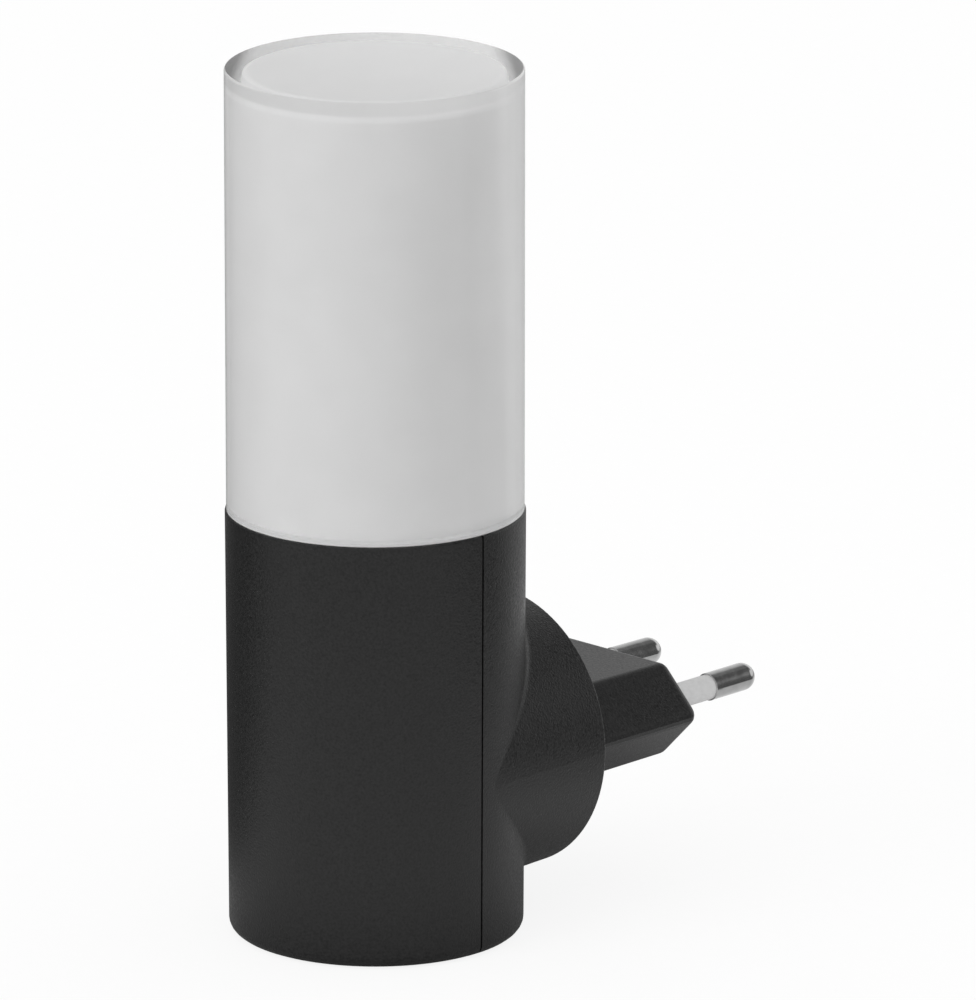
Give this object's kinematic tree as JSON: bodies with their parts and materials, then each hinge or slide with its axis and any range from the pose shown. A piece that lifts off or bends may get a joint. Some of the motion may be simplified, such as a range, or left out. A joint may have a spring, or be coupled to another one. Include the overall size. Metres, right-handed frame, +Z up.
{
  "type": "plug-in night light",
  "caption": "Upright round night light that plugs into a wall socket: dark split housing, clear shade over an opal liner, flat plug with two round pins on a boss, rocker switch underneath.",
  "frame": {"origin": "centre of the foot's flat ring, on the axis of the round body", "axes": "+Z up along the body; +Y from the body towards the plug's pin tips; +X to the right seen from the plain front"},
  "size_m": [0.042, 0.0878, 0.124],
  "materials": {
    "housing": "charcoal ABS with a fine spark-eroded grain",
    "shade_clear": "clear acrylic, polished",
    "shade_opal": "opal white, satin",
    "carrier_white": "white, moulded",
    "board_white": "white solder mask",
    "led_yellow": "yellow phosphor under clear silicone",
    "screw_steel": "zinc plated",
    "retainer_cream": "moulded",
    "pin_metal": "nickel plated, turned",
    "sleeve_grey": "light grey, moulded",
    "board_green": "green solder mask on glass epoxy",
    "capacitor_ochre": "dipped resin",
    "capacitor_blue": "heat-shrink sleeve",
    "ferrite": "sintered ferrite",
    "epoxy_black": "moulded epoxy",
    "resistor_green": "cement coating",
    "switch_black": "black, moulded",
    "terminal_brass": "stamped",
    "blade_copper": "rolled copper strip",
    "plunger_white": "natural acetal",
    "spring_steel": "drawn wire",
    "wire_brown": "insulation",
    "wire_blue": "insulation",
    "wire_black": "insulation",
    "wire_red": "insulation"
  },
  "bodies": {
    "housing": {"front_shell": "housing", "rear_shell": "housing", "bottom_plate": "housing", "clear_shade": "shade_clear", "opal_liner": "shade_opal", "led_carrier": "carrier_white", "led_board": "board_white", "led_chips": "led_yellow", "led_screws": "screw_steel", "plug_body": "housing", "plug_screws": "screw_steel", "pin_retainer": "retainer_cream", "contact_pin_left": "pin_metal", "contact_pin_right": "pin_metal", "pin_sleeve_left": "sleeve_grey", "pin_sleeve_right": "sleeve_grey", "driver_board": "board_green", "film_capacitor": "capacitor_ochre", "smoothing_capacitor": "capacitor_blue", "power_inductor": "ferrite", "bridge_rectifier": "epoxy_black", "driver_chip": "epoxy_black", "fuse_resistor": "resistor_green", "switch_housing": "switch_black", "switch_terminals": "terminal_brass", "live_wire": "wire_brown", "neutral_wire": "wire_blue", "switched_wire": "wire_black", "led_wire_positive": "wire_red", "led_wire_negative": "wire_black"},
    "rocker": {"switch_rocker": "switch_black", "switch_spring": "spring_steel"},
    "plunger": {"switch_plunger": "plunger_white"},
    "blade": {"switch_blade": "blade_copper"}
  },
  "joints": [
    {"name": "rocker_tilt", "type": "hinge", "parent": "housing", "child": "rocker", "pos_m": [0, 0, 0.0047], "axis": [1, 0, 0], "range_deg": [-18, 0]},
    {"name": "plunger_slide", "type": "slide", "parent": "rocker", "child": "plunger", "axis": [0, -0.1564, 0.9877], "range_m": [-0.0004, 0], "stiffness_N_per_m": 5, "springref_m": 0.0004, "deforming": ["switch_spring"]},
    {"name": "blade_tilt", "type": "hinge", "parent": "housing", "child": "blade", "pos_m": [0, 0, 0.0114], "axis": [1, 0, 0], "range_deg": [0, 10]}
  ],
  "couplings": [
    {"joint": "blade_tilt", "follows": "rocker_tilt", "ratio": -0.55555}
  ]
}
